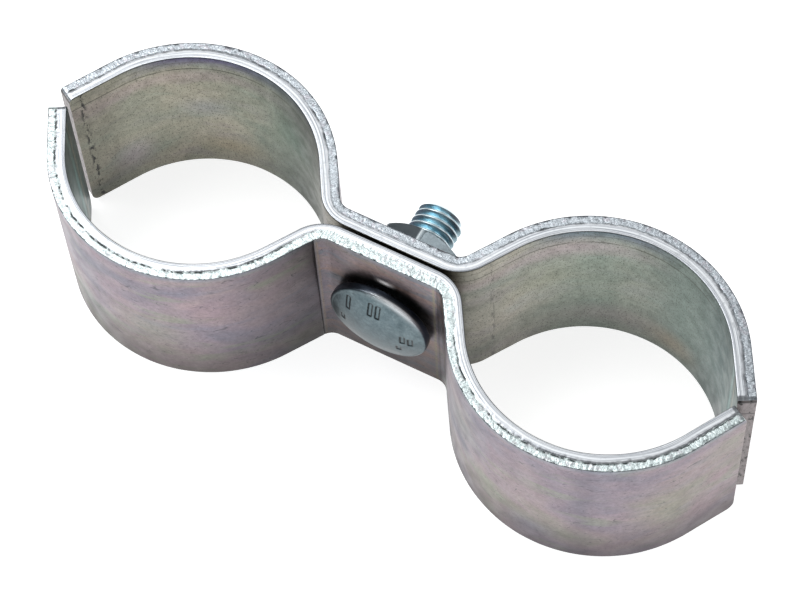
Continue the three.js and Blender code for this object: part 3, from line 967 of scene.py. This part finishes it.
def bolt_thread(material):
    """Threaded shank from the neck to its slightly hollow end."""
    start = NECK_END - 0.2
    core = THREAD_RADIUS - END_CHAMFER
    root = turned_mesh([(core, start)], THREAD_SEGMENTS, closed_first=True)
    helix = thread(start, THREAD_END, THREAD_SEGMENTS)
    tip = [(core, THREAD_END), (core - 0.15, THREAD_END),
           (1.6, THREAD_END - 0.06), (0.02, THREAD_END - 0.08)]
    points, faces = joined(root, helix, turned_mesh(tip, THREAD_SEGMENTS, closed_last=True))

    # Layout: painted highlights on the crests and end bevel, and painted shade on one side
    radius = np.hypot(points[:, 0], points[:, 2] - BOLT_HEIGHT)
    crest = smooth(THREAD_RADIUS - 0.06, THREAD_RADIUS - 0.005, radius)
    bevel = smooth(THREAD_END - END_CHAMFER, THREAD_END - 0.5 * END_CHAMFER, points[:, 1])
    bevel *= smooth(core - 0.3, core, radius)
    shaded = 0.75 * smooth(0.2, 3.4, points[:, 0])
    layout = np.stack([np.maximum(crest, bevel), shaded, 0 * crest], 1)
    return make_mesh("bolt_thread", points, faces, [material], layout=layout, sharp=38)


def hex_nut(material):
    """Hexagonal nut with rounded corners, domed chamfers and a threaded bore."""
    turn = np.linspace(0, 2 * math.pi, NUT_SEGMENTS, endpoint=False)
    flat = NUT_ACROSS_FLATS / 2
    face = flat - NUT_FACE_MARGIN
    bore = THREAD_RADIUS + THREAD_CLEARANCE
    mouth = bore + NUT_COUNTERSINK
    top = NUT_SEAT + NUT_HEIGHT
    # A corner of the hexagon is straight up at rest, turned by the nut's own turn
    from_flat = (math.pi / 2 + turn - NUT_TURN + math.pi) % (math.pi / 3) - math.pi / 6
    outline = np.minimum(flat / np.cos(from_flat), NUT_ACROSS_CORNERS / 2)

    def chamfered(depth):
        """The outline at a depth below either face."""
        return np.minimum(outline, face + depth / math.tan(NUT_CHAMFER))

    rings = [(mouth, NUT_SEAT)]
    rings += [(radius, NUT_SEAT) for radius in np.linspace(bore + 0.7, face, 6)]
    rings += [(chamfered(depth), NUT_SEAT + depth) for depth in np.linspace(0.02, 0.5, 10)]
    rings += [(outline, NUT_SEAT + depth) for depth in np.linspace(0.9, NUT_HEIGHT - 0.9, 6)]
    rings += [(chamfered(depth), top - depth) for depth in np.linspace(0.5, 0.02, 10)]
    rings += [(radius, top) for radius in np.linspace(face, bore + 0.7, 6)]
    rings += [(mouth, top), (bore, top - NUT_COUNTERSINK)]
    outside = turned_mesh(rings, NUT_SEGMENTS)
    foot = turned_mesh([(bore, NUT_SEAT + NUT_COUNTERSINK), (mouth, NUT_SEAT)], NUT_SEGMENTS)
    inside, quads = thread(NUT_SEAT + NUT_COUNTERSINK, top - NUT_COUNTERSINK, NUT_SEGMENTS, bore=True)
    points, faces = joined(outside, foot, (inside, [quad[::-1] for quad in quads]))

    # Layout: a painted highlight on the corner that faces up, and painted shade on the side beside it at
    # negative X
    sideways = points[:, 0] * math.cos(NUT_TURN) - (points[:, 2] - BOLT_HEIGHT) * math.sin(NUT_TURN)
    radius = np.hypot(points[:, 0], points[:, 2] - BOLT_HEIGHT)
    corner_share = 0.8 * smooth(0.18, 0.0, np.abs(sideways + 0.12)) * (radius > flat + 0.3)
    shaded = smooth(-0.1, -0.35, sideways) * (radius > bore + 0.2)
    layout = np.stack([corner_share, shaded, 0 * shaded], 1)
    return make_mesh("nut", points, faces, [material], layout=layout, sharp=32)


# ---------------- build the object

inner, burnished, end = inner_wall(), burnished_edge(), cut_end()

head_side = outer_wall("zinc_outer_wall_head_side", True)
bright_break = broken_edge("zinc_broken_edge", (0.30, 0.34, 0.35), (0.50, 0.57, 0.575),
                           (0.68, 0.765, 0.76), (0.90, 0.95, 0.93))
front = strip("front_strip", [head_side, inner, burnished, bright_break, end], turned=False, seed=3.7,
              tearing=0.6, roughness=0.045, burnish=(1.2, 1.5))
nut_side = outer_wall("zinc_outer_wall_nut_side", False)
dull_break = broken_edge("zinc_broken_edge_dull", (0.22, 0.24, 0.26), (0.37, 0.405, 0.44),
                         (0.52, 0.565, 0.60), (0.74, 0.79, 0.83))
rear = strip("rear_strip", [nut_side, inner, burnished, dull_break, end], turned=True, seed=41.3,
             tearing=-0.3, roughness=0.03, burnish=(1.45, 1.5))

satin = ((0.105, 0.148, 0.165), (0.155, 0.208, 0.228), (0.225, 0.290, 0.312))
head = bolt_head(bolt_zinc("zinc_bolt_head", *satin, 0.34, head=True))
neck = bolt_neck(bolt_zinc("zinc_bolt", *satin, 0.34))
blue = ((0.35, 0.58, 0.69), (0.47, 0.73, 0.84), (0.62, 0.85, 0.94))
shank = bolt_thread(bolt_zinc("zinc_thread", *blue, 0.38, highlight_colour=(0.66, 0.76, 0.80)))
grey = ((0.25, 0.30, 0.325), (0.30, 0.355, 0.385), (0.36, 0.42, 0.45))
nut = hex_nut(bolt_zinc("zinc_nut", *grey, 0.38, highlight_colour=(0.85, 0.90, 0.92)))

for piece, body, node, slot in (
    (front, "front_half", "front_clamp_half", "zinc_strip"),
    (rear, "rear_half", "rear_clamp_half", "zinc_strip"),
    (head, "front_half", "carriage_bolt", "zinc_bolt"),
    (neck, "front_half", "carriage_bolt", "zinc_bolt"),
    (shank, "front_half", "carriage_bolt", "zinc_bolt"),
    (nut, "nut", "hex_nut", "zinc_nut"),
):
    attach(piece, body)
    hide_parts(node)

# ---------------- floor, light and camera

scene = bpy.context.scene

floor_look = Look("floor")
floor_look.set(Base_Color=(0.86, 0.86, 0.86, 1), Roughness=0.9, Specular_IOR_Level=0.1)
floor_look.set(Emission_Color=(1, 1, 1, 1), Emission_Strength=0.80)
floor_reach = 2.5  # metres each way from the middle
corners = [(x * floor_reach, y * floor_reach, 0) for x, y in ((-1, -1), (1, -1), (1, 1), (-1, 1))]
floor_mesh = bpy.data.meshes.new("floor")
floor_mesh.from_pydata(corners, [], [(0, 1, 2, 3)])
floor_mesh.materials.append(floor_look.material)
floor = bpy.data.objects.new("floor", floor_mesh)
scene.collection.objects.link(floor)

# The surroundings are brightest at the horizon and dimmer overhead
world = bpy.data.worlds.new("studio")
scene.world = world
world.use_nodes = True
world_tree = world.node_tree
world_background = world_tree.nodes["Background"]
world_background.inputs["Color"].default_value = (0.95, 0.98, 1.0, 1)
direction = world_tree.nodes.new("ShaderNodeTexCoord")
rise = world_tree.nodes.new("ShaderNodeSeparateXYZ")
fade = world_tree.nodes.new("ShaderNodeMapRange")
world_tree.links.new(direction.outputs["Generated"], rise.inputs[0])
world_tree.links.new(rise.outputs["Z"], fade.inputs["Value"])
for key, value in (("From Min", 0.0), ("From Max", 0.45), ("To Min", 0.62), ("To Max", 0.30)):
    fade.inputs[key].default_value = value
world_tree.links.new(fade.outputs[0], world_background.inputs["Strength"])


def direction_to(azimuth, elevation):
    """Direction from the object, for angles in radians. Azimuth 0 is -Y and a quarter turn is +X."""
    level = math.cos(elevation)
    return Vector((math.sin(azimuth) * level, -math.cos(azimuth) * level, math.sin(elevation)))


def soft_light(name, azimuth, elevation, distance, size, power):
    """A square soft light aimed at the object's middle. Angles are in degrees, lengths in metres."""
    data = bpy.data.lights.new(name, "AREA")
    data.shape = "SQUARE"
    data.size = size
    data.energy = power
    light = bpy.data.objects.new(name, data)
    back = direction_to(math.radians(azimuth), math.radians(elevation))
    light.location = Vector((0, 0, AIM_HEIGHT * MM)) + back * distance
    light.rotation_mode = "QUATERNION"
    light.rotation_quaternion = back.to_track_quat("Z", "Y")
    scene.collection.objects.link(light)


AIM_HEIGHT = 15.0  # millimetres above the floor
soft_light("key", -95, 58, 0.8, 0.5, 2.4)
soft_light("back", -150, 61, 0.9, 0.5, 0.95)
soft_light("fill", -17, 24, 1.0, 0.25, 0.7)
soft_light("side", 123, 42, 1.0, 0.45, 1.3)

# Camera angles are in radians, and its distance and target in millimetres
CAMERA_AZIMUTH = 0.5545024
CAMERA_ELEVATION = 1.0662431
CAMERA_DISTANCE = 437.663
CAMERA_ROLL = -0.0714511
CAMERA_TARGET = (1.214, -0.381, 15.2)
SENSOR_WIDTH = 36.0
LENS = 126.101

camera = bpy.data.objects.new("camera", bpy.data.cameras.new("camera"))
scene.collection.objects.link(camera)
camera.data.sensor_width = SENSOR_WIDTH
camera.data.lens = LENS
camera.data.clip_start = 0.01
camera.data.clip_end = 20
back = direction_to(CAMERA_AZIMUTH, CAMERA_ELEVATION)
right = (-back).cross(Vector((0, 0, 1))).normalized()
up = right.cross(-back)
upright, lean = math.cos(CAMERA_ROLL), math.sin(CAMERA_ROLL)
axes = Matrix((right * upright + up * lean, up * upright - right * lean, back)).transposed().to_4x4()
axes.translation = (Vector(CAMERA_TARGET) + back * CAMERA_DISTANCE) * MM
camera.matrix_world = axes
scene.camera = camera
scene.view_settings.view_transform = "Standard"
